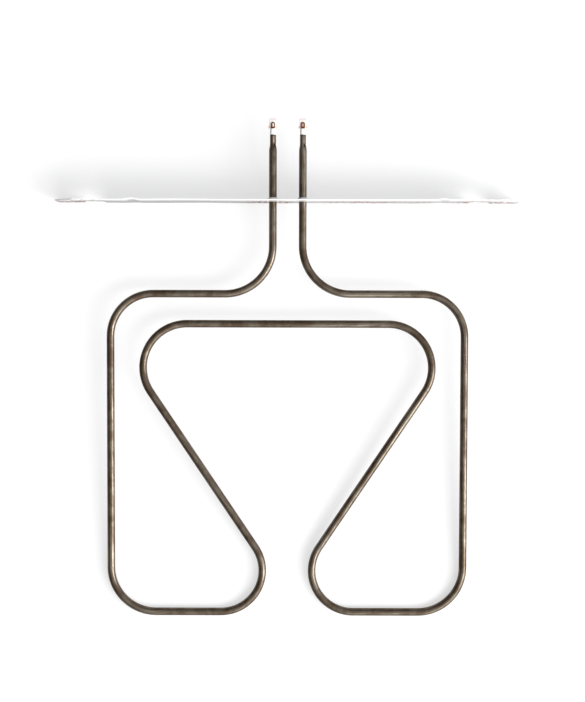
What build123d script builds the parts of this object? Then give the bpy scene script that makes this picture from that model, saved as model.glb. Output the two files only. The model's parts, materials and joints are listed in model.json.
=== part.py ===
from build123d import *
import math
import os

os.makedirs("parts", exist_ok=True)

# Tubular heating element with a long mounting plate, in millimetres
# The origin lies between the two legs, on the plate's loop side
# X runs along the plate, +Y points to the terminals and Z is square to the loops

# Sheath tube, its runs placed by their centre lines
SHEATH_D = 6.4
SHEATH_WALL = 0.45
LEG_SPACING = 25.0
LOOP_HALF_WIDTH = 148.8
PLATE_TO_UPPER_RUN = 77.0
LOOP_LENGTH = 269.5
CHANNEL_WIDTH = 25.2
SIDE_CHANNEL_WIDTH = 27.3
MOUTH_WIDTH = 41.8
LEG_BEND_R = 40.0
OUTER_TOP_R = 36.0
OUTER_BOTTOM_R = 38.0
LOWER_INNER_R = 35.2
INNER_TOP_R = 37.0

# Necked ends of the sheath
NECK_D = 5.0
TAPER_START_Y = 43.0
TAPER_END_Y = 47.5
SHEATH_END_Y = 55.8
DIMPLE_R = 1.3
DIMPLE_DEPTH = 0.35

# Inside the sheath
COIL_D = 3.0
COIL_END_Y = -12.0
PIN_D = 2.4
PIN_OVERLAP = 8.0
SEAL_LENGTH = 2.5

# Ceramic beads
BEAD_D = 4.8
BEAD_HEAD = 5.0
BEAD_SPIGOT = 4.0
BEAD_EDGE_R = 0.5

# Terminal tabs and the flattened pin ends welded on them
TAB_WIDTH = 6.3
TAB_FOOT_WIDTH = 7.6
TAB_FOOT_LENGTH = 1.6
TAB_SHOULDER = 0.9
TAB_LENGTH = 8.4
TAB_THICKNESS = 0.8
TAB_TIP_CHAMFER = 0.7
TAB_GAP = 0.3
LUG_WIDTH = 3.8
LUG_THICKNESS = 1.0
LUG_LENGTH = 5.6
LUG_SWAGE = 1.4

# Mounting plate
PLATE_LENGTH = 389.0
PLATE_HEIGHT = 40.0
PLATE_T = 1.0
PLATE_CORNER_R = 4.0
PLATE_TOP_CHAMFER = 16.0
NOTCH_TO_END = 32.0
NOTCH_WIDTH = 17.0
NOTCH_DEPTH = 17.0
NOTCH_R = 4.0
SCREW_TO_END = 11.5
SCREW_HOLE_D = 4.5
RIB_TO_NOTCH = 33.5
RIB_WIDTH = 14.0
RIB_DEPTH = 1.2
RIB_BLEND_R = 4.0

# Drawn collars round the legs
COLLAR_FOOT_D = 9.2
COLLAR_TOP_D = 7.5
COLLAR_HEIGHT = 2.4
COLLAR_BLEND_R = 0.6
COLLAR_ENTRY_R = 0.7

LEG_X = LEG_SPACING / 2
UPPER_RUN_Y = -PLATE_TO_UPPER_RUN
LOWER_RUN_Y = UPPER_RUN_Y - LOOP_LENGTH
INNER_RUN_Y = UPPER_RUN_Y - CHANNEL_WIDTH
SCREW_X = PLATE_LENGTH / 2 - SCREW_TO_END
NOTCH_X = PLATE_LENGTH / 2 - NOTCH_TO_END
RIB_X = NOTCH_X - RIB_TO_NOTCH
BORE_D = SHEATH_D - 2 * SHEATH_WALL
NECK_BORE_D = NECK_D - 2 * SHEATH_WALL
BEAD_TOP_Y = SHEATH_END_Y + BEAD_HEAD
SEAL_TOP_Y = SHEATH_END_Y - BEAD_SPIGOT
SEAL_FOOT_Y = SEAL_TOP_Y - SEAL_LENGTH
SIDES = {"left": -1, "right": 1}


def slanting_run_corners():
    """Where the run that touches both inner bends would cross the lower and inner runs."""
    low_x = MOUTH_WIDTH / 2 + LOWER_INNER_R
    low_y = LOWER_RUN_Y + LOWER_INNER_R
    top_x = LOOP_HALF_WIDTH - SIDE_CHANNEL_WIDTH - INNER_TOP_R
    top_y = INNER_RUN_Y - INNER_TOP_R
    centres = math.hypot(top_x - low_x, top_y - low_y)
    slope = math.atan2(top_y - low_y, top_x - low_x)
    slope -= math.asin((LOWER_INNER_R + INNER_TOP_R) / centres)
    lower_corner = (low_x - LOWER_INNER_R / math.tan(slope / 2), LOWER_RUN_Y)
    inner_corner = (top_x + INNER_TOP_R / math.tan(slope / 2), INNER_RUN_Y)
    return lower_corner, inner_corner


def loop_path(start_y):
    """Centre line of the tube from one leg at start_y round both loops to the other."""
    right = [
        (LEG_X, start_y),
        (LEG_X, UPPER_RUN_Y),
        (LOOP_HALF_WIDTH, UPPER_RUN_Y),
        (LOOP_HALF_WIDTH, LOWER_RUN_Y),
        *slanting_run_corners(),
    ]
    radii = [LEG_BEND_R, OUTER_TOP_R, OUTER_BOTTOM_R, LOWER_INNER_R, INNER_TOP_R]
    left = [(-x, y) for x, y in right]
    return FilletPolyline(*left, *reversed(right), radius=radii + radii[::-1])


def rod_along_loops(diameter, start_y):
    path = loop_path(start_y)
    section = Plane(path @ 0, z_dir=path % 0) * Circle(diameter / 2)
    return sweep(section, path)


def rod_on_leg(side, diameter, low_y, high_y):
    """Cylinder on a leg's axis between two heights."""
    start = Plane((side * LEG_X, low_y, 0), z_dir=(0, 1, 0))
    return extrude(start * Circle(diameter / 2), high_y - low_y)


def neck_on_leg(side, full_d, neck_d):
    """Taper and neck at the sheath's end, as a solid of one diameter step."""
    profile = Polyline(
        (0, TAPER_START_Y),
        (full_d / 2, TAPER_START_Y),
        (neck_d / 2, TAPER_END_Y),
        (neck_d / 2, SHEATH_END_Y),
        (0, SHEATH_END_Y),
        close=True,
    )
    neck = revolve(make_face(profile), Axis.Y)
    return Pos(side * LEG_X, 0, 0) * neck


def sheath_envelope(full_d, neck_d):
    body = rod_along_loops(full_d, TAPER_START_Y)
    for side in SIDES.values():
        body += neck_on_leg(side, full_d, neck_d)
    return body


def make_sheath():
    tube = sheath_envelope(SHEATH_D, NECK_D) - sheath_envelope(BORE_D, NECK_BORE_D)
    reach = NECK_D / 2 + DIMPLE_R - DIMPLE_DEPTH
    for side in SIDES.values():
        tube -= Pos(side * LEG_X + reach, TAPER_END_Y, 0) * Sphere(DIMPLE_R)
    return tube


def make_coil():
    coil = rod_along_loops(COIL_D, COIL_END_Y)
    for side in SIDES.values():
        coil -= rod_on_leg(side, PIN_D, COIL_END_Y - PIN_OVERLAP, COIL_END_Y)
    return coil


def make_filling():
    filling = sheath_envelope(BORE_D, NECK_BORE_D)
    filling -= rod_along_loops(COIL_D, COIL_END_Y)
    for side in SIDES.values():
        filling -= rod_on_leg(side, PIN_D, COIL_END_Y, SHEATH_END_Y)
        filling -= rod_on_leg(side, NECK_BORE_D, SEAL_FOOT_Y, SHEATH_END_Y)
    return filling


def make_pin(side):
    """Round pin whose end is flattened into a round-nosed lug."""
    lug_y = BEAD_TOP_Y + LUG_SWAGE
    x = side * LEG_X
    pin = rod_on_leg(side, PIN_D, COIL_END_Y - PIN_OVERLAP, BEAD_TOP_Y)
    round_end = Plane((x, BEAD_TOP_Y, 0), x_dir=(1, 0, 0), z_dir=(0, 1, 0)) * Circle(PIN_D / 2)
    flat_end = Plane((x, lug_y, 0), x_dir=(1, 0, 0), z_dir=(0, 1, 0)) * Rectangle(LUG_WIDTH, LUG_THICKNESS)
    pin += loft([round_end, flat_end])
    straight = LUG_LENGTH - LUG_SWAGE - LUG_WIDTH / 2
    outline = Pos(x, lug_y + straight / 2) * Rectangle(LUG_WIDTH, straight)
    outline += Pos(x, lug_y + straight) * Circle(LUG_WIDTH / 2)
    outline -= Pos(x, lug_y - LUG_WIDTH / 2) * Rectangle(LUG_WIDTH, LUG_WIDTH)
    return pin + extrude(outline, LUG_THICKNESS / 2, both=True)


def make_tab(side):
    """Flat push-on tab with a wider foot and a chamfered tip."""
    foot_y = BEAD_TOP_Y + TAB_GAP
    shoulder_y = foot_y + TAB_FOOT_LENGTH
    neck_y = shoulder_y + TAB_SHOULDER
    tip_y = foot_y + TAB_LENGTH
    half = [
        (TAB_FOOT_WIDTH / 2, foot_y),
        (TAB_FOOT_WIDTH / 2, shoulder_y),
        (TAB_WIDTH / 2, neck_y),
        (TAB_WIDTH / 2, tip_y - TAB_TIP_CHAMFER),
        (TAB_WIDTH / 2 - TAB_TIP_CHAMFER, tip_y),
    ]
    outline = Polyline(*half, *[(-x, y) for x, y in reversed(half)], close=True)
    tab = extrude(make_face(outline), TAB_THICKNESS)
    return Pos(side * LEG_X, 0, -LUG_THICKNESS / 2 - TAB_THICKNESS) * tab


def make_seal(side):
    seal = rod_on_leg(side, NECK_BORE_D, SEAL_FOOT_Y, SEAL_TOP_Y)
    return seal - rod_on_leg(side, PIN_D, SEAL_FOOT_Y, SEAL_TOP_Y)


def make_bead(side):
    """Shouldered ceramic bead, its spigot inside the sheath's neck."""
    head = rod_on_leg(side, BEAD_D, SHEATH_END_Y, BEAD_TOP_Y)
    rim = head.faces().sort_by(Axis.Y)[-1].edges()
    head = fillet(rim, BEAD_EDGE_R)
    bead = head + rod_on_leg(side, NECK_BORE_D, SEAL_TOP_Y, SHEATH_END_Y)
    return bead - rod_on_leg(side, PIN_D, SEAL_TOP_Y, BEAD_TOP_Y)


def plate_plan():
    """Sheet seen from above, with a round rib bulging to the terminal side at each end."""
    inner_r = (RIB_WIDTH**2 / 4 + RIB_DEPTH**2) / (2 * RIB_DEPTH)
    centre_y = RIB_DEPTH - inner_r
    sheet = Pos(0, PLATE_T / 2) * Rectangle(PLATE_LENGTH, PLATE_T)
    terminal_side = Pos(0, inner_r) * Rectangle(PLATE_LENGTH, 2 * inner_r)
    for side in SIDES.values():
        centre = Pos(side * RIB_X, centre_y)
        sheet += centre * Circle(inner_r + PLATE_T) & terminal_side
    for side in SIDES.values():
        sheet -= Pos(side * RIB_X, centre_y) * Circle(inner_r)
    reach = RIB_WIDTH / 2 + PLATE_T
    corners = [v for v in sheet.vertices() if abs(abs(v.X) - RIB_X) < reach]
    return fillet(corners, RIB_BLEND_R)


def plate_outline():
    """Sheet seen from the front, drawn in X and Z."""
    front = Rectangle(PLATE_LENGTH, PLATE_HEIGHT)
    front = chamfer(front.vertices().group_by(Axis.Y)[-1], PLATE_TOP_CHAMFER)
    front = fillet(front.vertices(), PLATE_CORNER_R)
    for side in SIDES.values():
        low_z = -PLATE_HEIGHT / 2
        slot = RectangleRounded(NOTCH_WIDTH, 2 * NOTCH_DEPTH, NOTCH_R)
        front -= Pos(side * NOTCH_X, low_z) * slot
        front -= Pos(side * SCREW_X, 0) * Circle(SCREW_HOLE_D / 2)
    return Plane.XZ * front


def make_collar(side):
    """Drawn collar that grips a leg on the plate's terminal side."""
    cone = Cone(COLLAR_FOOT_D / 2, COLLAR_TOP_D / 2, COLLAR_HEIGHT, align=(Align.CENTER, Align.CENTER, Align.MIN))
    return Pos(side * LEG_X, PLATE_T, 0) * Rot(-90, 0, 0) * cone


def make_plate():
    depth = RIB_DEPTH + PLATE_T
    sheet = Pos(0, 0, -PLATE_HEIGHT / 2) * extrude(plate_plan(), PLATE_HEIGHT)
    plate = sheet & extrude(plate_outline(), depth, both=True)
    for side in SIDES.values():
        plate += make_collar(side)
        plate -= rod_on_leg(side, SHEATH_D, -PLATE_T, 2 * COLLAR_HEIGHT + PLATE_T)
    rings = plate.edges().filter_by(GeomType.CIRCLE)
    feet = [e for e in rings if abs(e.radius - COLLAR_FOOT_D / 2) < 0.01]
    plate = fillet(feet, COLLAR_BLEND_R)
    rings = plate.edges().filter_by(GeomType.CIRCLE)
    entries = [e for e in rings if abs(e.radius - SHEATH_D / 2) < 0.01 and abs(e.center().Y) < 0.01]
    return fillet(entries, COLLAR_ENTRY_R)


def one_solid(shape):
    solids = shape.solids()
    assert len(solids) == 1, len(solids)
    return solids[0]


pieces = {
    "mounting_plate": make_plate(),
    "sheath_tube": make_sheath(),
    "resistance_coil": make_coil(),
    "magnesia_filling": make_filling(),
}
for name, side in SIDES.items():
    pieces["cold_pin_" + name] = make_pin(side)
    pieces["end_seal_" + name] = make_seal(side)
    pieces["ceramic_bead_" + name] = make_bead(side)
    pieces["terminal_tab_" + name] = make_tab(side)

for name, shape in pieces.items():
    export_step(one_solid(shape), "parts/" + name + ".step")
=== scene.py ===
import json
import math

import bmesh
import bpy
from mathutils import Matrix, Vector


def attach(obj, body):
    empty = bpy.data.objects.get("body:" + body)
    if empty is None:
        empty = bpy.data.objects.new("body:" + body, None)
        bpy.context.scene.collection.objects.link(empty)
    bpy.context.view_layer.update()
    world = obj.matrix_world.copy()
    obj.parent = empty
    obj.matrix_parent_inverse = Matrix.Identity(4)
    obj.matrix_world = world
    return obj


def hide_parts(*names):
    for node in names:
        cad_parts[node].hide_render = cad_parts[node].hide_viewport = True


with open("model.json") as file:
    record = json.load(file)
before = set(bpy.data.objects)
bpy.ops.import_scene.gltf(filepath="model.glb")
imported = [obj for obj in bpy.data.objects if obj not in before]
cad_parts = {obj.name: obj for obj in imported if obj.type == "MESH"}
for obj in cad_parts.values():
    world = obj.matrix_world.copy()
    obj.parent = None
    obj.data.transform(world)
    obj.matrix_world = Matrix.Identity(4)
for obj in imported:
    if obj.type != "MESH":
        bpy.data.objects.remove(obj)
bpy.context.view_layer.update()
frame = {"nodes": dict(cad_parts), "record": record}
scene = bpy.context.scene
MM = 0.001

# Sizes are in millimetres; a hair is the least clearance, and how far a piece stays inside its solid
HAIR = 0.01

# Legs and loops of the sheath
SHEATH_R = 3.2
SHEATH_WALL = 0.45
LEG_X = 12.5
LOOP_HALF_WIDTH = 148.8
UPPER_RUN_Y = -77.0
LOWER_RUN_Y = -346.5
INNER_RUN_Y = -102.2
SIDE_CHANNEL_WIDTH = 27.3
MOUTH_WIDTH = 41.8
LEG_BEND_R = 40.0
OUTER_TOP_R = 36.0
OUTER_BOTTOM_R = 38.0
LOWER_INNER_R = 35.2
INNER_TOP_R = 37.0
BEND_STEP_DEGREES = 4.0

# Necked ends of the sheath
NECK_R = 2.5
TAPER_START_Y = 43.0
TAPER_END_Y = 47.5
SHEATH_END_Y = 55.8
MOUTH_EDGE = 0.15
MOUTH_EDGE_STEP = 0.04
DIMPLE_R = 1.3
DIMPLE_DEPTH = 0.35
DIMPLED_LENGTH = 3.5

# Mounting plate
PLATE_HALF_LENGTH = 194.5 - HAIR
PLATE_HALF_HEIGHT = 20.0 - HAIR
PLATE_T = 1.0
PLATE_CORNER_R = 4.0
PLATE_TOP_CHAMFER = 16.0
NOTCH_X = 162.5
NOTCH_WIDTH = 17.0
NOTCH_DEPTH = 17.0
SCREW_X = 183.0
SCREW_HOLE_R = 2.25
RIB_X = 129.0
RIB_WIDTH = 14.0
LEFT_RIB_DEPTH = 1.2
RIGHT_RIB_DEPTH = 0.84
WAVE_MEAN = 0.12
LEFT_WAVE = 0.16
RIGHT_WAVE = 0.07
WAVE_PER_RADIAN_X = 17.0
WAVE_PER_RADIAN_Z = 30.0
FLAT_HALF_LENGTH = 30.0
WAVY_FROM_X = 70.0
ARRIS = 0.08

# Drawn collars round the legs
COLLAR_BLEND_R = 5.2
COLLAR_FOOT_R = 4.6
COLLAR_TOP_R = 3.75
COLLAR_HEIGHT = 2.4
COLLAR_ENTRY = 0.7
COLLAR_CLEAR_REACH = 8.0

# Cold pins with their flattened ends
PIN_R = 1.2
PIN_START_Y = -20.0
LUG_HALF_WIDTH = 1.9
LUG_HALF_T = 0.5
LUG_START_Y = 62.2
LUG_END_Y = 66.4
PIN_LAST_ROUND_RUN = 0.3
NOSE_STEP = math.pi / 2 / 8.6

# Terminal tabs
TAB_FOOT_Y = 61.1
TAB_SHOULDER_Y = 62.7
TAB_NECK_Y = 63.6
TAB_TIP_Y = 69.5 - HAIR
TAB_HALF_WIDTH = 3.15
TAB_FOOT_HALF_WIDTH = 3.8
TAB_T = 0.8
TAB_TIP_CHAMFER = 0.7
TAB_CORNER = 0.3
TAB_ARRIS = 0.12

# Ceramic beads
BEAD_R = 2.4
BEAD_SPIGOT_R = 2.05
BEAD_FOOT_Y = 51.8
BEAD_TOP_Y = 60.8
BEAD_TOP_ROUND = 0.5
BEAD_FOOT_ROUND = 0.12

# The view: straight down on the surface that the object lies on
VIEW_HEIGHT = 1.15
PIXELS_PER_METRE = 1174.5
PHOTO_WIDTH = 585
PHOTO_HEIGHT = 702
ORIGIN_PIXEL = (287.9, 204.4)
PICTURE_TURN = math.radians(0.15)
SENSOR_HEIGHT = 36.0
FARTHEST_SEEN = 20.0


def resting_tilt():
    """Angle at which the plate's lower edge and the loops' ends both touch a flat surface."""
    low, high = 0.0, 0.2
    for _ in range(40):
        angle = (low + high) / 2
        gap = PLATE_HALF_HEIGHT * math.cos(angle) + LOWER_RUN_Y * math.sin(angle) - SHEATH_R
        low, high = (angle, high) if gap > 0 else (low, angle)
    return angle


TILT = resting_tilt()
UP = Vector((0, math.sin(TILT), math.cos(TILT)))
ALONG = Vector((0, math.cos(TILT), -math.sin(TILT)))
FOOT = -UP * PLATE_HALF_HEIGHT * MM * math.cos(TILT)


def on_floor(x, y, height):
    """A point in metres over the surface, with y along it from below the object's origin."""
    return FOOT + Vector((x, 0, 0)) + ALONG * y + UP * height


def aim(item, place, target, upward):
    back = (place - target).normalized()
    right = upward.cross(back).normalized()
    turn = Matrix((right, back.cross(right), back)).transposed().to_4x4()
    item.matrix_world = Matrix.Translation(place) @ turn


def make_camera():
    data = bpy.data.cameras.new("camera")
    camera = bpy.data.objects.new("camera", data)
    scene.collection.objects.link(camera)
    right = (PHOTO_WIDTH / 2 - ORIGIN_PIXEL[0]) / PIXELS_PER_METRE
    up = (ORIGIN_PIXEL[1] - PHOTO_HEIGHT / 2) / PIXELS_PER_METRE
    x = right * math.cos(PICTURE_TURN) - up * math.sin(PICTURE_TURN)
    y = right * math.sin(PICTURE_TURN) + up * math.cos(PICTURE_TURN)
    upward = ALONG * math.cos(PICTURE_TURN) - Vector((math.sin(PICTURE_TURN), 0, 0))
    aim(camera, on_floor(x, y, VIEW_HEIGHT), on_floor(x, y, 0), upward)
    data.sensor_fit = "VERTICAL"
    data.sensor_height = SENSOR_HEIGHT
    data.lens = PIXELS_PER_METRE * VIEW_HEIGHT * SENSOR_HEIGHT / PHOTO_HEIGHT
    data.clip_end = FARTHEST_SEEN
    scene.camera = camera


make_camera()


# Shader nodes

def feed(place, value):
    """Sets an input, or links it where the value comes out of another node."""
    if isinstance(value, Value):
        value = value.socket
    if isinstance(value, bpy.types.NodeSocket):
        place.id_data.links.new(value, place)
    else:
        place.default_value = value


def add_node(tree, kind, settings=None, inputs=None):
    """A shader node; its settings go in first, then what feeds its inputs, by name or by number."""
    node = tree.nodes.new("ShaderNode" + kind)
    for name, value in (settings or {}).items():
        setattr(node, name, value)
    for name, value in (inputs or {}).items():
        feed(node.inputs[name], value)
    return node


def two_sided(operation):
    """An operator for a Value on its left, and the same for one on its right."""
    def forward(self, other):
        return self.math(operation, self, other)

    def reflected(self, other):
        return self.math(operation, other, self)

    return forward, reflected


class Value:
    """A number in a material, so that shader sums are written as plain arithmetic."""

    def __init__(self, socket):
        self.socket = socket

    def math(self, operation, *terms):
        node = add_node(self.socket.id_data, "Math", {"operation": operation}, dict(enumerate(terms)))
        return Value(node.outputs[0])

    __add__, __radd__ = two_sided("ADD")
    __sub__, __rsub__ = two_sided("SUBTRACT")
    __mul__, __rmul__ = two_sided("MULTIPLY")
    __truediv__, __rtruediv__ = two_sided("DIVIDE")
    __pow__, __rpow__ = two_sided("POWER")

    def __abs__(self):
        return self.math("ABSOLUTE", self)

    def sin(self):
        return self.math("SINE", self)

    def cos(self):
        return self.math("COSINE", self)

    def at_most(self, limit):
        return self.math("MINIMUM", self, limit)

    def ramp(self, low, high):
        """0 at low, 1 at high and smooth between."""
        inputs = {"Value": self, "From Min": low, "From Max": high}
        node = add_node(self.socket.id_data, "MapRange", {"interpolation_type": "SMOOTHSTEP"}, inputs)
        return Value(node.outputs["Result"])


class Finish:
    """One material built from nodes."""

    def __init__(self, name, constants=None):
        self.material = bpy.data.materials.new(name)
        self.material.use_nodes = True
        self.tree = self.material.node_tree
        self.tree.nodes.clear()
        self.surface = add_node(self.tree, "BsdfPrincipled", inputs=constants)
        self.output = add_node(self.tree, "OutputMaterial", inputs={"Surface": self.surface.outputs[0]})

    def node(self, kind, settings=None, inputs=None):
        return add_node(self.tree, kind, settings, inputs)

    def place(self):
        """Object coordinates in millimetres."""
        point = self.node("TexCoord").outputs["Object"]
        by = (1 / MM, 1 / MM, 1 / MM)
        return self.node("VectorMath", {"operation": "MULTIPLY"}, {0: point, 1: by}).outputs[0]

    def straight(self):
        """Coordinates of a piece as if it were pulled straight or flat, in millimetres."""
        return self.node("Attribute", {"attribute_name": "straight"}).outputs["Vector"]

    def shifted(self, vector, by):
        return self.node("VectorMath", {"operation": "ADD"}, {0: vector, 1: by}).outputs[0]

    def parts(self, vector):
        return [Value(socket) for socket in self.node("SeparateXYZ", inputs={"Vector": vector}).outputs]

    def vector(self, x, y, z):
        return self.node("CombineXYZ", inputs={"X": x, "Y": y, "Z": z}).outputs[0]

    def noise(self, vector, scale, detail=3.0, rough=0.5):
        inputs = {"Vector": vector, "Scale": scale, "Detail": detail, "Roughness": rough}
        return Value(self.node("TexNoise", inputs=inputs).outputs[0])

    def patches(self, vector, scale):
        """Cells that each have one tone of their own."""
        return Value(self.node("TexVoronoi", inputs={"Vector": vector, "Scale": scale}).outputs["Color"])

    def blend(self, amount, first, second):
        """From the first colour to the second as amount goes from 0 to 1."""
        return self.node("Mix", {"data_type": "RGBA"}, {0: amount, 6: first, 7: second}).outputs[2]

    def colour(self, value):
        feed(self.surface.inputs["Base Color"], value)

    def rough(self, value):
        feed(self.surface.inputs["Roughness"], value)

    def metal(self, value):
        feed(self.surface.inputs["Metallic"], value)

    def bump(self, height, distance):
        """Relief from a height between 0 and 1, as deep as distance in metres."""
        relief = self.node("Bump", inputs={"Height": height, "Distance": distance, "Strength": 1.0})
        feed(self.surface.inputs["Normal"], relief.outputs[0])


def rgb(*shown):
    """A colour from its red, green and blue on screen, each from 0 to 255."""
    linear = [(c / 255 / 12.92) if c < 10.3 else ((c / 255 + 0.055) / 1.055) ** 2.4 for c in shown]
    return (*linear, 1.0)


# Materials

# Along the sheath the grinding facets go once round in this length
FACET_TURN_LENGTH = 140.0

# Rusty stretches of the plate: start and end in millimetres, and how rusty
STAINS = [(-194, -152, 0.7), (-33, 2, 0.8), (30, 50, 0.4), (50, 84, 0.9), (84, 120, 0.4), (143, 192, 0.7)]


def neck_marks(f, grain):
    """A painted highlight: a pale broken streak along the top of each neck, weaker on the right; and painted
    shade: a dark spot in and around the pressed dent beside it.
    """
    across, along, height = f.parts(f.place())
    on_top = (1 - abs(abs(across - 0.5) - LEG_X).ramp(0.0, 1.0)) * height.ramp(0.5, 1.6)
    on_neck = along.ramp(47.6, 50.0) * (1 - along.ramp(54.0, 55.4))
    broken = grain.ramp(0.3, 0.6) * 0.5 + 0.2
    painted_neck_highlight = on_top * on_neck * broken * (1 - across.ramp(-1.0, 1.0) * 0.7)
    # Painted shade: a dark spot round the pressed dent on the right of each neck
    aside = (abs(across - 1.8) - LEG_X) / 1.15
    reach = (aside ** 2 + ((along - 46.7) / 1.9) ** 2 + ((height - 1.7) / 1.8) ** 2) ** 0.5
    return painted_neck_highlight, 1 - reach.ramp(0.65, 1.15)


def sheath_finish():
    """Brown oxidised steel with long slow grinding facets."""
    f = Finish("sheath_steel", {"IOR": 1.5, "Specular Tint": rgb(170, 160, 148)})
    straight = f.straight()
    x, y, along = f.parts(straight)
    turn = along * (2 * math.pi / FACET_TURN_LENGTH)
    turned_x = x * turn.cos() - y * turn.sin()
    turned_y = x * turn.sin() + y * turn.cos()
    facet = f.noise(f.vector(turned_x, turned_y, along * 0.03), 0.16, 2.0)
    belt = f.noise(f.vector(turned_x, turned_y, along * 0.02), 1.3, 3.0, 0.6)
    blotch = f.noise(f.shifted(straight, (7, 3, 0)), 0.11, 3.0, 0.6)
    grain = f.noise(straight, 2.2, 3.0, 0.65)
    streak = facet * 0.6 + belt * 0.4
    tone = f.blend(blotch.ramp(0.35, 0.68), rgb(77, 63, 51), rgb(102, 93, 81))
    tone = f.blend(streak.ramp(0.45, 0.68) * 0.5, tone, rgb(152, 143, 131))
    tone = f.blend(grain.ramp(0.5, 0.75) * 0.3, tone, rgb(54, 36, 27))
    painted_neck_highlight, painted_dimple_shade = neck_marks(f, grain)
    # Painted highlight along the top of the necks, and painted shade darkening the dent beside each one
    tone = f.blend(painted_neck_highlight, tone, rgb(204, 192, 168))
    f.colour(f.blend(painted_dimple_shade, tone, rgb(16, 10, 7)))
    f.metal((0.68 + streak.ramp(0.4, 0.7) * 0.15) * (1 - painted_dimple_shade))
    f.rough(0.27 - streak.ramp(0.4, 0.7) * 0.06 + grain * 0.06 + painted_dimple_shade * 0.6)
    f.bump(facet * 0.8 + belt * 0.15 + grain * 0.05, 0.00012)
    return f.material


def plate_rust(f, x, y, z):
    """Rust specks in the stained stretches, thickest along the plate's edges."""
    speck = f.noise(f.vector(x, y, z * 0.2), 0.4, 5.0, 0.7).ramp(0.48, 0.58)
    stained = 0.1
    for start, end, strength in STAINS:
        stained = stained + x.ramp(start - 5, start + 5) * (1 - x.ramp(end - 5, end + 5)) * strength
    lower = (1 - z.ramp(-4.0, 15.0)) * 1.4
    upper = z.ramp(15.0, 19.0) * (abs(x).ramp(135.0, 155.0) * 0.9 + 0.5)
    return stained * speck * (lower + upper)


def plate_finish():
    """Galvanised sheet: faint spangle, cut edges and collars painted near-white as a painted highlight, and a
    darker, rusty side to the loops that is paler towards its top.
    """
    f = Finish("plate_steel")
    x, y, z = f.parts(f.straight())
    flat = f.vector(x, z, y)
    spangle = f.patches(f.shifted(flat, (3, 5, 0)), 0.13)
    rolled = f.noise(f.vector(x * 0.02, y, z * 1.6), 1.0, 3.0, 0.6)
    cloud = f.noise(flat, 0.05, 4.0, 0.6)
    grain = f.noise(flat, 1.6, 3.0, 0.6)
    tone = f.blend(spangle * 0.55 + cloud * 0.45, rgb(214, 216, 218), rgb(240, 241, 243))
    tone = f.blend(rolled.ramp(0.45, 0.8) * 0.3, tone, rgb(196, 198, 200))
    # The loop side is darker and dirtier, darker on the left, and paler towards its top and at the ears
    loop_side_left_tone = f.blend(cloud, rgb(122, 121, 122), rgb(150, 150, 151))
    loop_side_tone = f.blend(x.ramp(-60.0, 20.0), loop_side_left_tone, f.blend(cloud, rgb(160, 158, 158), rgb(182, 181, 181)))
    height = z + abs(x).ramp(164.0, 188.0) * 9.0
    loop_side_tone = f.blend(height.ramp(1.0, 17.0) * 0.8, loop_side_tone, rgb(236, 236, 237))
    loop_side = 1 - y.ramp(0.05, 0.3)
    tone = f.blend(loop_side * 0.85, tone, loop_side_tone)
    # Painted highlight: the sheet's cut edges are painted near-white and matt
    cut = y.ramp(0.1, 0.3) * (1 - y.ramp(0.7, 0.9))
    tone = f.blend(cut, tone, rgb(253, 253, 253))
    # Painted highlight: the collars are painted near-white and matt
    across, outwards, _ = f.parts(f.place())
    collar = outwards.ramp(1.05, 1.5) * (1 - abs(across).ramp(20.0, 25.0))
    tone = f.blend(collar, tone, rgb(252, 252, 253))
    rust = (plate_rust(f, x, y, z) * loop_side).at_most(1.0)
    f.colour(f.blend(rust, tone, f.blend(grain.ramp(0.3, 0.7), rgb(96, 56, 36), rgb(160, 102, 70))))
    f.metal((1 - cut) * (1 - rust) * (1 - collar) * 0.45)
    f.rough(0.34 + cloud * 0.12 + rolled * 0.06 + rust * 0.3)
    f.bump(grain * 0.5 + rolled * 0.5, 0.00004)
    return f.material


def ceramic_finish():
    """Unglazed white ceramic with faint smudges."""
    f = Finish("bead_ceramic", {"Specular IOR Level": 0.35})
    point = f.place()
    grain = f.noise(point, 3.0, 4.0, 0.6)
    smudge = f.noise(point, 0.7, 3.0, 0.6).ramp(0.55, 0.8)
    tone = f.blend(grain, rgb(242, 241, 237), rgb(251, 250, 247))
    f.colour(f.blend(smudge * 0.35, tone, rgb(190, 182, 170)))
    f.rough(0.55 + grain * 0.2)
    f.bump(grain, 0.00005)
    return f.material


def tab_finish():
    """Plated tab: bright body, greyer tip, and straw to copper along its foot and edges."""
    f = Finish("tab_steel")
    point = f.place()
    x, y, _ = f.parts(point)
    stain = f.noise(f.shifted(point, (4, 0, 9)), 0.9, 4.0, 0.7)
    grain = f.noise(point, 4.0, 3.0, 0.6)
    tip = y.ramp(67.0, 67.8)
    foot = 1 - y.ramp(61.6, 64.4)
    edge = abs(abs(x) - LEG_X).ramp(1.9, 3.0) * (1 - tip)
    tone = f.blend(grain, rgb(250, 245, 240), rgb(255, 253, 250))
    tone = f.blend(tip * 0.8, tone, f.blend(stain, rgb(204, 192, 190), rgb(228, 216, 212)))
    tone = f.blend((edge * 0.45 + foot * 0.4) * stain.ramp(0.25, 0.6), tone, rgb(226, 158, 108))
    f.colour(f.blend(stain.ramp(0.6, 0.75) * foot * 0.6, tone, rgb(132, 88, 64)))
    f.metal(0.15 - stain * 0.1)
    f.rough(0.3 + stain * 0.2)
    f.bump(grain, 0.00004)
    return f.material


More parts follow.
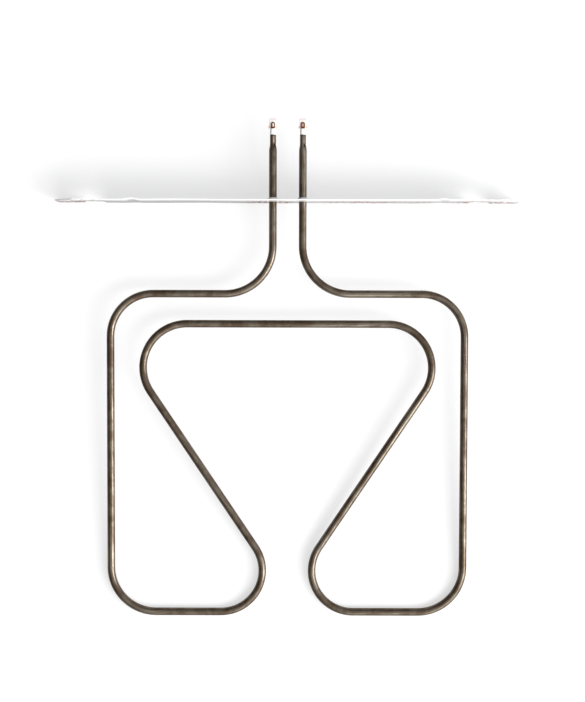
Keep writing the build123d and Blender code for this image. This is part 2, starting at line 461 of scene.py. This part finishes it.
def pin_finish():
    """Brown scorched pin with a painted highlight: a pale stripe along the middle of its flat."""
    f = Finish("pin_steel")
    point = f.place()
    x, y, _ = f.parts(point)
    stain = f.noise(point, 0.7, 4.0, 0.7)
    grain = f.noise(point, 4.0, 3.0, 0.6)
    # Painted highlight: a pale stripe along the middle of each lug's flat, paler on the left pin than on the
    # right
    painted_lug_highlight = (1 - abs(abs(x) - 12.35).ramp(0.5, 1.0)) * y.ramp(62.2, 62.8) * (1 - y.ramp(64.6, 65.4))
    tone = f.blend(stain.ramp(0.35, 0.65), rgb(84, 52, 38), rgb(122, 84, 66))
    patch = f.blend(x.ramp(-1.0, 1.0), rgb(236, 216, 206), rgb(186, 140, 126))
    tone = f.blend(painted_lug_highlight * stain.ramp(0.3, 0.5), tone, patch)
    f.colour(f.blend(grain.ramp(0.55, 0.85) * 0.4, tone, rgb(190, 160, 140)))
    f.metal(0.35 - painted_lug_highlight * 0.2)
    f.rough(0.42 + stain * 0.2)
    f.bump(stain * 0.6 + grain * 0.4, 0.00008)
    return f.material


def plain_finish(name, dark, pale, scale, rough, metallic=0.0, depth=0.00005):
    """Grain in two tones for the pieces inside the sheath."""
    f = Finish(name, {"Metallic": metallic})
    point = f.place()
    coarse = f.noise(point, scale, 4.0, 0.6)
    fine = f.noise(point, scale * 6, 3.0, 0.6)
    f.colour(f.blend(coarse * 0.6 + fine * 0.4, dark, pale))
    f.rough(rough + fine * 0.15)
    f.bump(coarse * 0.5 + fine * 0.5, depth)
    return f.material


finishes = {
    "plate_steel": plate_finish(),
    "sheath_steel": sheath_finish(),
    "bead_ceramic": ceramic_finish(),
    "tab_steel": tab_finish(),
    "pin_steel": pin_finish(),
    "heating_wire": plain_finish("heating_wire", rgb(120, 116, 110), rgb(176, 172, 165), 1.2, 0.35, 1.0),
    "magnesia": plain_finish("magnesia", rgb(214, 210, 202), rgb(240, 238, 232), 1.0, 0.8, 0.0, 0.0001),
    "seal_resin": plain_finish("seal_resin", rgb(110, 56, 40), rgb(150, 84, 62), 1.5, 0.45),
}


# Shapes

SHARP_ANGLE = math.radians(35)


def finish_piece(name, bm, slot, *nodes):
    """Turns a bmesh in millimetres into a riding piece in metres."""
    bmesh.ops.scale(bm, vec=(MM, MM, MM), verts=bm.verts)
    bmesh.ops.recalc_face_normals(bm, faces=bm.faces)
    mesh = bpy.data.meshes.new(name)
    bm.to_mesh(mesh)
    bm.free()
    mesh.shade_smooth()
    mesh.set_sharp_from_angle(angle=SHARP_ANGLE)
    piece = bpy.data.objects.new(name, mesh)
    scene.collection.objects.link(piece)
    mesh.materials.append(finishes[slot])
    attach(piece, "root")
    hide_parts(*nodes)


def verts_in(geometry):
    return [g for g in geometry if isinstance(g, bmesh.types.BMVert)]


def edges_in(geometry):
    return [g for g in geometry if isinstance(g, bmesh.types.BMEdge)]


def slanting_run():
    """Slope in degrees of the run that touches both inner bends, its length, and the upper bend's x."""
    low = Vector((MOUTH_WIDTH / 2 + LOWER_INNER_R, LOWER_RUN_Y + LOWER_INNER_R))
    top = Vector((LOOP_HALF_WIDTH - SIDE_CHANNEL_WIDTH - INNER_TOP_R, INNER_RUN_Y - INNER_TOP_R))
    across = top - low
    radii = LOWER_INNER_R + INNER_TOP_R
    slope = math.atan2(across.y, across.x) - math.asin(radii / across.length)
    return math.degrees(slope), math.sqrt(across.length ** 2 - radii ** 2), top.x


class Walker:
    """Draws a tube ring by ring, and notes where each ring would lie if the tube were straight."""

    def __init__(self, place, heading, radius, count):
        self.bm = bmesh.new()
        self.note = self.bm.verts.layers.float_vector.new("straight")
        self.place = Vector(place)
        self.heading = heading
        self.radius = radius
        self.along = 0.0
        self.pace = 1.0
        bmesh.ops.create_circle(self.bm, segments=count, radius=radius)
        half = Matrix.Rotation(math.pi / count, 4, "Z")
        turn = Matrix.Rotation(heading, 4, "Z") @ Matrix.Rotation(math.radians(90), 4, "Y") @ half
        bmesh.ops.transform(self.bm, matrix=Matrix.Translation(self.place) @ turn, verts=self.bm.verts)
        self.first = self.bm.edges[:]
        self.ring = self.first
        self.mark()

    def verts(self):
        return list({v for e in self.ring for v in e.verts})

    def forward(self):
        return Vector((math.cos(self.heading), math.sin(self.heading), 0))

    def leftward(self):
        return Vector((-math.sin(self.heading), math.cos(self.heading), 0))

    def mark(self):
        side = self.leftward() * self.pace
        for v in self.verts():
            offset = v.co - self.place
            v[self.note] = (offset.dot(side), offset.z, self.along)

    def step(self, distance, radius=None):
        self.ring = edges_in(bmesh.ops.extrude_edge_only(self.bm, edges=self.ring)["geom"])
        new = self.verts()
        self.place += self.forward() * distance
        bmesh.ops.translate(self.bm, vec=self.forward() * distance, verts=new)
        if radius is not None:
            by = radius / self.radius
            space = Matrix.Translation(-self.place)
            bmesh.ops.scale(self.bm, vec=(by, by, by), space=space, verts=new)
            self.radius = radius
        self.along += distance * self.pace
        self.mark()

    def run(self, distance, steps=1):
        for _ in range(steps):
            self.step(distance / steps)

    def bend(self, bend_r, degrees):
        """Positive degrees turn left."""
        steps = round(abs(degrees) / BEND_STEP_DEGREES)
        part = math.radians(degrees) / steps
        hand = math.copysign(1, degrees)
        for _ in range(steps):
            centre = self.place + self.leftward() * hand * bend_r
            made = bmesh.ops.spin(self.bm, geom=self.ring, cent=centre, axis=(0, 0, 1), angle=part, steps=1)
            self.ring = edges_in(made["geom_last"])
            self.place = centre + Matrix.Rotation(part, 3, "Z") @ (self.place - centre)
            self.heading += part
            self.along += abs(part) * bend_r * self.pace
            self.mark()

    def turn_back(self, *edge):
        """Goes over the tube's mouth by steps of distance and radius, and faces the other way."""
        for distance, radius in edge:
            self.step(distance, radius)
        self.heading += math.pi
        self.pace = -self.pace


def neck(w, full_r, neck_r, outwards):
    """Taper and straight neck of one wall, walked out to the mouth or in from it, in short rings."""
    rings = 14
    shares = [i / rings for i in range(rings + 1)]
    eased = [share ** 2 * (3 - 2 * share) * 0.35 + share * 0.65 for share in shares]
    taper = [full_r + (neck_r - full_r) * share for share in eased]
    taper_step = (TAPER_END_Y - TAPER_START_Y) / rings
    plain_length = SHEATH_END_Y - TAPER_END_Y - DIMPLED_LENGTH - MOUTH_EDGE
    if outwards:
        for radius in taper[1:]:
            w.step(taper_step, radius)
        w.run(DIMPLED_LENGTH, 10)
        w.step(plain_length)
    else:
        w.step(plain_length)
        w.run(DIMPLED_LENGTH, 10)
        for radius in reversed(taper[:-1]):
            w.step(taper_step, radius)


def loops(w):
    """Both loops, from one leg's taper to the other's; the way back along the bore turns the other way."""
    slope, slant, inner_x = slanting_run()
    lower_x = MOUTH_WIDTH / 2 + LOWER_INNER_R
    hand = 1 if w.pace > 0 else -1
    half = [
        (TAPER_START_Y - UPPER_RUN_Y - LEG_BEND_R, 2, LEG_BEND_R, -90),
        (LOOP_HALF_WIDTH - OUTER_TOP_R - LEG_X - LEG_BEND_R, 1, OUTER_TOP_R, 90),
        (UPPER_RUN_Y - OUTER_TOP_R - LOWER_RUN_Y - OUTER_BOTTOM_R, 2, OUTER_BOTTOM_R, 90),
        (LOOP_HALF_WIDTH - OUTER_BOTTOM_R - lower_x, 1, LOWER_INNER_R, 180 - slope),
        (slant, 2, INNER_TOP_R, slope - 180),
    ]
    for length, steps, bend_r, degrees in half:
        w.run(length, steps)
        w.bend(bend_r, degrees * hand)
    w.run(2 * inner_x, 2)
    for length, steps, bend_r, degrees in reversed(half):
        w.bend(bend_r, degrees * hand)
        w.run(length, steps)


def press_dimple(bm, side):
    """Presses a round punch into the outer wall of one neck, from its right."""
    centre = Vector((side * LEG_X + NECK_R + DIMPLE_R - DIMPLE_DEPTH, TAPER_END_Y, 0))
    for v in bm.verts:
        reach = v.co - centre
        outer = math.hypot(v.co.x - side * LEG_X, v.co.z) > NECK_R - SHEATH_WALL / 2
        if outer and 0 < reach.length < DIMPLE_R:
            v.co = centre + reach.normalized() * DIMPLE_R


def make_sheath():
    """The outer wall from the left mouth to the right one, and the bore all the way back."""
    bore_r = SHEATH_R - SHEATH_WALL
    neck_bore_r = NECK_R - SHEATH_WALL
    w = Walker((-LEG_X, SHEATH_END_Y - MOUTH_EDGE, 0), -math.pi / 2, NECK_R, 40)
    neck(w, SHEATH_R, NECK_R, outwards=False)
    loops(w)
    neck(w, SHEATH_R, NECK_R, outwards=True)
    w.turn_back((MOUTH_EDGE - MOUTH_EDGE_STEP, NECK_R - MOUTH_EDGE_STEP),
                (MOUTH_EDGE_STEP, NECK_R - MOUTH_EDGE), (0.0, neck_bore_r))
    w.step(MOUTH_EDGE)
    neck(w, bore_r, neck_bore_r, outwards=False)
    loops(w)
    neck(w, bore_r, neck_bore_r, outwards=True)
    w.turn_back((MOUTH_EDGE, neck_bore_r), (0.0, NECK_R - MOUTH_EDGE),
                (-MOUTH_EDGE_STEP, NECK_R - MOUTH_EDGE_STEP))
    bmesh.ops.bridge_loops(w.bm, edges=w.ring + w.first)
    for side in (-1, 1):
        press_dimple(w.bm, side)
    finish_piece("sheath", w.bm, "sheath_steel", "sheath_tube")


def ring_at(bm, centre, radius, y):
    """Edges of the round hole or ring of that radius about the Y axis through centre."""
    def on_it(v):
        reach = math.hypot(v.co.x - centre[0], v.co.z - centre[1])
        return abs(reach - radius) < HAIR and abs(v.co.y - y) < HAIR
    return [e for e in bm.edges if on_it(e.verts[0]) and on_it(e.verts[1])]


def rings_on(bm, edges, centre, radius, steps):
    """Draws a lathe shape about a Y axis onwards from a ring; steps give radius and y."""
    y = edges[0].verts[0].co.y
    space = Matrix.Translation((-centre[0], 0, -centre[1]))
    for new_radius, new_y in steps:
        edges = edges_in(bmesh.ops.extrude_edge_only(bm, edges=edges)["geom"])
        verts = list({v for e in edges for v in e.verts})
        by = new_radius / radius
        bmesh.ops.scale(bm, vec=(by, 1, by), space=space, verts=verts)
        bmesh.ops.translate(bm, vec=(0, new_y - y, 0), verts=verts)
        radius, y = new_radius, new_y
    return edges


def plate_outline(bm):
    """Edges of the plate's front: a strip with cut upper corners and a notch up from below near each end."""
    length, height = PLATE_HALF_LENGTH, PLATE_HALF_HEIGHT
    near, far = NOTCH_X - NOTCH_WIDTH / 2, NOTCH_X + NOTCH_WIDTH / 2
    # Each corner has its x, its z and the turn in degrees that gets rounded there
    half = [
        (near, -height, 0),
        (near, NOTCH_DEPTH - height, 90),
        (far, NOTCH_DEPTH - height, 90),
        (far, -height, 0),
        (length, -height, 90),
        (length, height - PLATE_TOP_CHAMFER, 45),
        (length - PLATE_TOP_CHAMFER, height, 45),
    ]
    corners = half + [(-x, z, turn) for x, z, turn in reversed(half)]
    verts = [bm.verts.new((x, 0, z)) for x, z, _ in corners]
    bm.faces.new(verts)
    for rounded_turn in (45, 90):
        offset = PLATE_CORNER_R * math.tan(math.radians(rounded_turn / 2))
        places = [v for v, (_, _, turn) in zip(verts, corners) if turn == rounded_turn]
        bmesh.ops.bevel(bm, geom=places, offset=offset, segments=7, profile=0.5, affect="VERTICES",
                        material=-1)
    bmesh.ops.delete(bm, geom=bm.faces[:], context="FACES_ONLY")


def round_hole(bm, x, radius, count):
    made = bmesh.ops.create_circle(bm, segments=count, radius=radius)["verts"]
    turn = Matrix.Translation((x, 0, 0)) @ Matrix.Rotation(math.pi / 2, 4, "X")
    bmesh.ops.transform(bm, matrix=turn, verts=made)


def cut_across(bm, places, axis):
    """Adds lines of edges across a mesh, so that it can be curved or smoothly shaded there."""
    for place in places:
        geom = bm.verts[:] + bm.edges[:] + bm.faces[:]
        bmesh.ops.bisect_plane(bm, geom=geom, plane_co=axis * place, plane_no=axis, dist=0.001)


def plate_wave(x, z):
    """How far the sheet stands out to the terminal side: its two ribs and a slight hand-worn waviness."""
    rib_depth, swing = (LEFT_RIB_DEPTH, LEFT_WAVE) if x < 0 else (RIGHT_RIB_DEPTH, RIGHT_WAVE)
    reach = min(1.0, abs(abs(x) - RIB_X) / (RIB_WIDTH / 2))
    upper = 0.5 + z / PLATE_HALF_HEIGHT * 0.5
    rib = rib_depth * (0.5 + 0.5 * math.cos(math.pi * reach)) * (0.25 + 0.75 * upper)
    away = min(1.0, max(0.0, (abs(x) - FLAT_HALF_LENGTH) / (WAVY_FROM_X - FLAT_HALF_LENGTH)))
    ripple = WAVE_MEAN + swing * math.sin(x / WAVE_PER_RADIAN_X + z / WAVE_PER_RADIAN_Z)
    return rib + max(0.0, ripple) * away


def draw_collar(bm, side):
    """Draws the plate out round one leg, over the collar's lip and back through its bore."""
    centre = (side * LEG_X, 0)
    top = PLATE_T + COLLAR_HEIGHT
    bore = SHEATH_R + 2 * HAIR
    terminal_side = ring_at(bm, centre, COLLAR_BLEND_R, PLATE_T)
    loop_side = ring_at(bm, centre, COLLAR_BLEND_R, 0)
    walls = [f for f in bm.faces if set(f.edges) & set(terminal_side) and set(f.edges) & set(loop_side)]
    bmesh.ops.delete(bm, geom=walls, context="FACES_ONLY")
    foot = [(COLLAR_FOOT_R + 0.33, PLATE_T + 0.06), (COLLAR_FOOT_R + 0.12, PLATE_T + 0.2),
            (COLLAR_FOOT_R - 0.02, PLATE_T + 0.45)]
    lip = [(COLLAR_TOP_R + 0.03, top - 0.12), (COLLAR_TOP_R - 0.03, top - 0.03), (COLLAR_TOP_R - 0.12, top),
           (bore + 0.06, top), (bore, top - 0.08)]
    entry = [(bore, COLLAR_ENTRY), (bore + 0.1, 0.35), (bore + 0.32, 0.1), (bore + 0.66, 0)]
    last = rings_on(bm, terminal_side, centre, COLLAR_BLEND_R, foot + lip + entry)
    bmesh.ops.bridge_loops(bm, edges=last + loop_side)


def make_plate():
    """The flat blank with its holes, then its thickness, ribs and waves, collars and eased edges."""
    bm = bmesh.new()
    plate_outline(bm)
    for x, radius, count in ((LEG_X, COLLAR_BLEND_R, 40), (SCREW_X, SCREW_HOLE_R, 28)):
        round_hole(bm, -x, radius, count)
        round_hole(bm, x, radius, count)
    bmesh.ops.triangle_fill(bm, use_beauty=True, edges=bm.edges[:], normal=(0, -1, 0))
    rib_reach = round(RIB_WIDTH / 2) + 1
    ribs = [side * RIB_X + step for side in (-1, 1) for step in range(-rib_reach, rib_reach + 1)]
    wavy = [x for x in range(-190, 191, 6) if abs(x) > FLAT_HALF_LENGTH]
    wavy = [x for x in wavy if abs(abs(x) - RIB_X) > rib_reach + 1]
    cut_across(bm, ribs + wavy, Vector((1, 0, 0)))
    cut_across(bm, (-14, -8, 8, 14), Vector((0, 0, 1)))
    note = bm.verts.layers.float_vector.new("straight")
    back = verts_in(bmesh.ops.extrude_face_region(bm, geom=bm.faces[:])["geom"])
    bmesh.ops.translate(bm, vec=(0, PLATE_T, 0), verts=back)
    for v in bm.verts:
        v[note] = v.co
        v.co.y += plate_wave(v.co.x, v.co.z)
    for side in (-1, 1):
        draw_collar(bm, side)
    bm.normal_update()
    clear = COLLAR_CLEAR_REACH
    arrises = [e for e in bm.edges if e.is_manifold and math.degrees(e.calc_face_angle(0)) > 60
               and all(abs(v.co.x) > LEG_X + clear or abs(v.co.z) > clear for v in e.verts)]
    bmesh.ops.bevel(bm, geom=arrises, offset=ARRIS, segments=2, profile=0.5, affect="EDGES",
                    material=-1, clamp_overlap=True)
    finish_piece("plate", bm, "plate_steel", "mounting_plate")


def make_tab(side, name):
    """Flat tab with a wider foot and a tip cut at its corners."""
    bm = bmesh.new()
    half = [
        (TAB_FOOT_HALF_WIDTH, TAB_FOOT_Y),
        (TAB_FOOT_HALF_WIDTH, TAB_SHOULDER_Y),
        (TAB_HALF_WIDTH, TAB_NECK_Y),
        (TAB_HALF_WIDTH, TAB_TIP_Y - TAB_TIP_CHAMFER),
        (TAB_HALF_WIDTH - TAB_TIP_CHAMFER, TAB_TIP_Y),
    ]
    corners = half + [(-x, y) for x, y in reversed(half)]
    verts = [bm.verts.new((side * LEG_X + x, y, -LUG_HALF_T - TAB_T)) for x, y in corners]
    bm.faces.new(verts)
    bmesh.ops.bevel(bm, geom=verts, offset=TAB_CORNER, segments=4, profile=0.5, affect="VERTICES",
                    material=-1)
    top = verts_in(bmesh.ops.extrude_face_region(bm, geom=bm.faces[:])["geom"])
    bmesh.ops.translate(bm, vec=(0, 0, TAB_T), verts=top)
    bm.normal_update()
    arrises = [e for e in bm.edges if e.is_manifold and math.degrees(e.calc_face_angle(0)) > 80]
    bmesh.ops.bevel(bm, geom=arrises, offset=TAB_ARRIS, segments=3, profile=0.5, affect="EDGES",
                    material=-1, clamp_overlap=True)
    cut_across(bm, [side * LEG_X + x * 0.7 for x in range(-5, 6)], Vector((1, 0, 0)))
    finish_piece(name, bm, "tab_steel", "terminal_" + name)


def squeeze(v, x):
    """Takes a point of the round pin that stands at x to its place on the flattened, round-nosed end."""
    nose = LUG_END_Y - LUG_HALF_WIDTH
    flatness = min(1.0, (v.co.y - BEAD_TOP_Y) / (LUG_START_Y - BEAD_TOP_Y))
    half_width = math.sqrt(LUG_HALF_WIDTH ** 2 - max(0.0, v.co.y - nose) ** 2)
    edge_r = min(LUG_HALF_T, half_width)
    angle = math.atan2(v.co.z, v.co.x - x)
    flat_x = math.copysign(half_width - edge_r, math.cos(angle)) + edge_r * math.cos(angle)
    flat_z = LUG_HALF_T * math.sin(angle)
    v.co.x = x + (1 - flatness) * PIN_R * math.cos(angle) + flatness * flat_x
    v.co.z = (1 - flatness) * PIN_R * math.sin(angle) + flatness * flat_z


def make_pin(side, name):
    """Round pin, squeezed flat and round-nosed beyond the bead."""
    x = side * LEG_X
    nose = LUG_END_Y - LUG_HALF_WIDTH
    w = Walker((x, PIN_START_Y, 0), math.pi / 2, PIN_R, 32)
    bmesh.ops.contextual_create(w.bm, geom=w.first)
    w.run(BEAD_TOP_Y - PIN_LAST_ROUND_RUN - PIN_START_Y, 4)
    w.step(PIN_LAST_ROUND_RUN)
    w.run(LUG_START_Y - BEAD_TOP_Y, 6)
    w.run(nose - LUG_START_Y, 5)
    for i in range(1, 9):
        w.step(nose + LUG_HALF_WIDTH * math.sin(i * NOSE_STEP) - w.place.y)
    bmesh.ops.contextual_create(w.bm, geom=w.ring)
    for v in w.bm.verts:
        if v.co.y > BEAD_TOP_Y + HAIR:
            squeeze(v, x)
    finish_piece(name, w.bm, "pin_steel", "cold_" + name)


def make_bead(side, name):
    """Stepped bead with a bore for the pin, its spigot down in the sheath's mouth."""
    bm = bmesh.new()
    x = side * LEG_X
    bore = PIN_R + HAIR
    spigot = BEAD_SPIGOT_R - HAIR
    profile = [(bore, BEAD_FOOT_Y), (spigot, BEAD_FOOT_Y), (spigot, SHEATH_END_Y),
               (BEAD_R, SHEATH_END_Y), (BEAD_R, BEAD_TOP_Y), (bore, BEAD_TOP_Y)]
    verts = [bm.verts.new((x + r, y, 0)) for r, y in profile]
    edges = [bm.edges.new((verts[i - 1], verts[i])) for i in range(len(verts))]
    bmesh.ops.spin(bm, geom=verts + edges, cent=(x, 0, 0), axis=(0, 1, 0), angle=2 * math.pi, steps=40,
                   use_merge=True)
    bmesh.ops.remove_doubles(bm, verts=bm.verts, dist=0.001)
    bmesh.ops.recalc_face_normals(bm, faces=bm.faces)
    for y, offset, segments in ((BEAD_TOP_Y, BEAD_TOP_ROUND, 5), (SHEATH_END_Y, BEAD_FOOT_ROUND, 2)):
        rim = ring_at(bm, (x, 0), BEAD_R, y)
        bmesh.ops.bevel(bm, geom=rim, offset=offset, segments=segments, profile=0.5, affect="EDGES",
                        material=-1)
    finish_piece(name, bm, "bead_ceramic", "ceramic_" + name)


make_sheath()
make_plate()
for side, hand in ((-1, "left"), (1, "right")):
    make_tab(side, "tab_" + hand)
    make_pin(side, "pin_" + hand)
    make_bead(side, "bead_" + hand)

slots = {part["node"]: part["material_slot"] for part in frame["record"]["subparts"]}
for node in frame["nodes"].values():
    for place in node.material_slots:
        place.material = finishes[slots[node.name]]


# Floor and light

FLOOR_HALF_SIZE = 50.0
FLOOR_WHITE = 0.57
MIDDLE_Y = -0.13


def background_rays(tree):
    """1 for rays that look at the background, straight, in gloss or through glass, and 0 for light."""
    path = add_node(tree, "LightPath")
    seen = Value(path.outputs["Is Camera Ray"]) + Value(path.outputs["Is Glossy Ray"])
    return (seen + Value(path.outputs["Is Transmission Ray"])).at_most(1.0)


def floor_finish():
    """White paper that keeps the object's shadow, and that can be seen through from below."""
    f = Finish("floor_paper", {"Roughness": 1.0, "Specular IOR Level": 0.0, "Emission Strength": FLOOR_WHITE})
    grain = f.noise(f.place(), 0.02)
    f.colour(f.blend(grain, (0.39, 0.393, 0.395, 1), (0.41, 0.41, 0.41, 1)))
    feed(f.surface.inputs["Emission Color"], background_rays(f.tree))
    below = f.node("NewGeometry").outputs["Backfacing"]
    clear = f.node("BsdfTransparent").outputs[0]
    sheet = f.node("MixShader", inputs={0: below, 1: f.surface.outputs[0], 2: clear})
    feed(f.output.inputs["Surface"], sheet.outputs[0])
    return f.material


def make_floor():
    bm = bmesh.new()
    bmesh.ops.create_grid(bm, x_segments=1, y_segments=1, size=FLOOR_HALF_SIZE)
    turn = Matrix((Vector((1, 0, 0)), ALONG, UP)).transposed().to_4x4()
    middle = on_floor(0, MIDDLE_Y, -0.0001)
    bmesh.ops.transform(bm, matrix=Matrix.Translation(middle) @ turn, verts=bm.verts)
    mesh = bpy.data.meshes.new("floor")
    bm.to_mesh(mesh)
    bm.free()
    mesh.materials.append(floor_finish())
    floor = bpy.data.objects.new("floor", mesh)
    scene.collection.objects.link(floor)


def lamp(name, direction, level, distance, **settings):
    """A soft lamp; level is what it gives a surface lying flat, where 1 in all shows a colour as written."""
    data = bpy.data.lights.new(name, "AREA")
    for setting, value in settings.items():
        setattr(data, setting, value)
    right, up, height = Vector(direction).normalized()
    data.energy = level / height * (math.pi * distance) ** 2
    item = bpy.data.objects.new(name, data)
    scene.collection.objects.link(item)
    target = on_floor(0, MIDDLE_Y, 0)
    place = target + (Vector((right, 0, 0)) + ALONG * up + UP * height) * distance
    aim(item, place, target, ALONG)


def make_world(dim, bright_regions):
    """A dim room with soft bright regions, and a white rim low down that only the background rays see."""
    world = bpy.data.worlds.new("studio")
    world.use_nodes = True
    tree = world.node_tree
    sky = tree.nodes["Background"]
    sky.inputs["Color"].default_value = (1.0, 1.0, 1.0, 1)
    look = add_node(tree, "TexCoord").outputs["Generated"]
    total = dim
    for direction, start, full, level in bright_regions:
        towards = {0: look, 1: Vector(direction).normalized()}
        facing = add_node(tree, "VectorMath", {"operation": "DOT_PRODUCT"}, towards).outputs["Value"]
        total = total + Value(facing).ramp(start, full) * level
    rise = Value(add_node(tree, "SeparateXYZ", inputs={"Vector": look}).outputs["Z"])
    rim = (1 - rise.ramp(0.02, 0.22)) * (1 - total).ramp(0.0, 1.0)
    feed(sky.inputs["Strength"], total + background_rays(tree) * rim)
    scene.world = world


# Bright regions of the room: direction, the cosines at which each starts and is full, and its level
BRIGHT_REGIONS = [
    ((0.42, -0.08, 0.9), 0.35, 0.95, 0.9),
    ((0.97, -0.2, 0.3), 0.7, 1.0, 1.5),
    ((0.4, -0.75, 0.55), 0.76, 1.0, 2.6),
]

make_floor()
lamp("key", (0.95, -0.61, 1.0), 0.22, 2.2, shape="DISK", size=0.88)
lamp("side", (0.9, -0.25, 0.46), 0.22, 2.4, shape="RECTANGLE", size=0.84, size_y=0.84)
make_world(0.08, BRIGHT_REGIONS)
scene.view_settings.view_transform = "Standard"
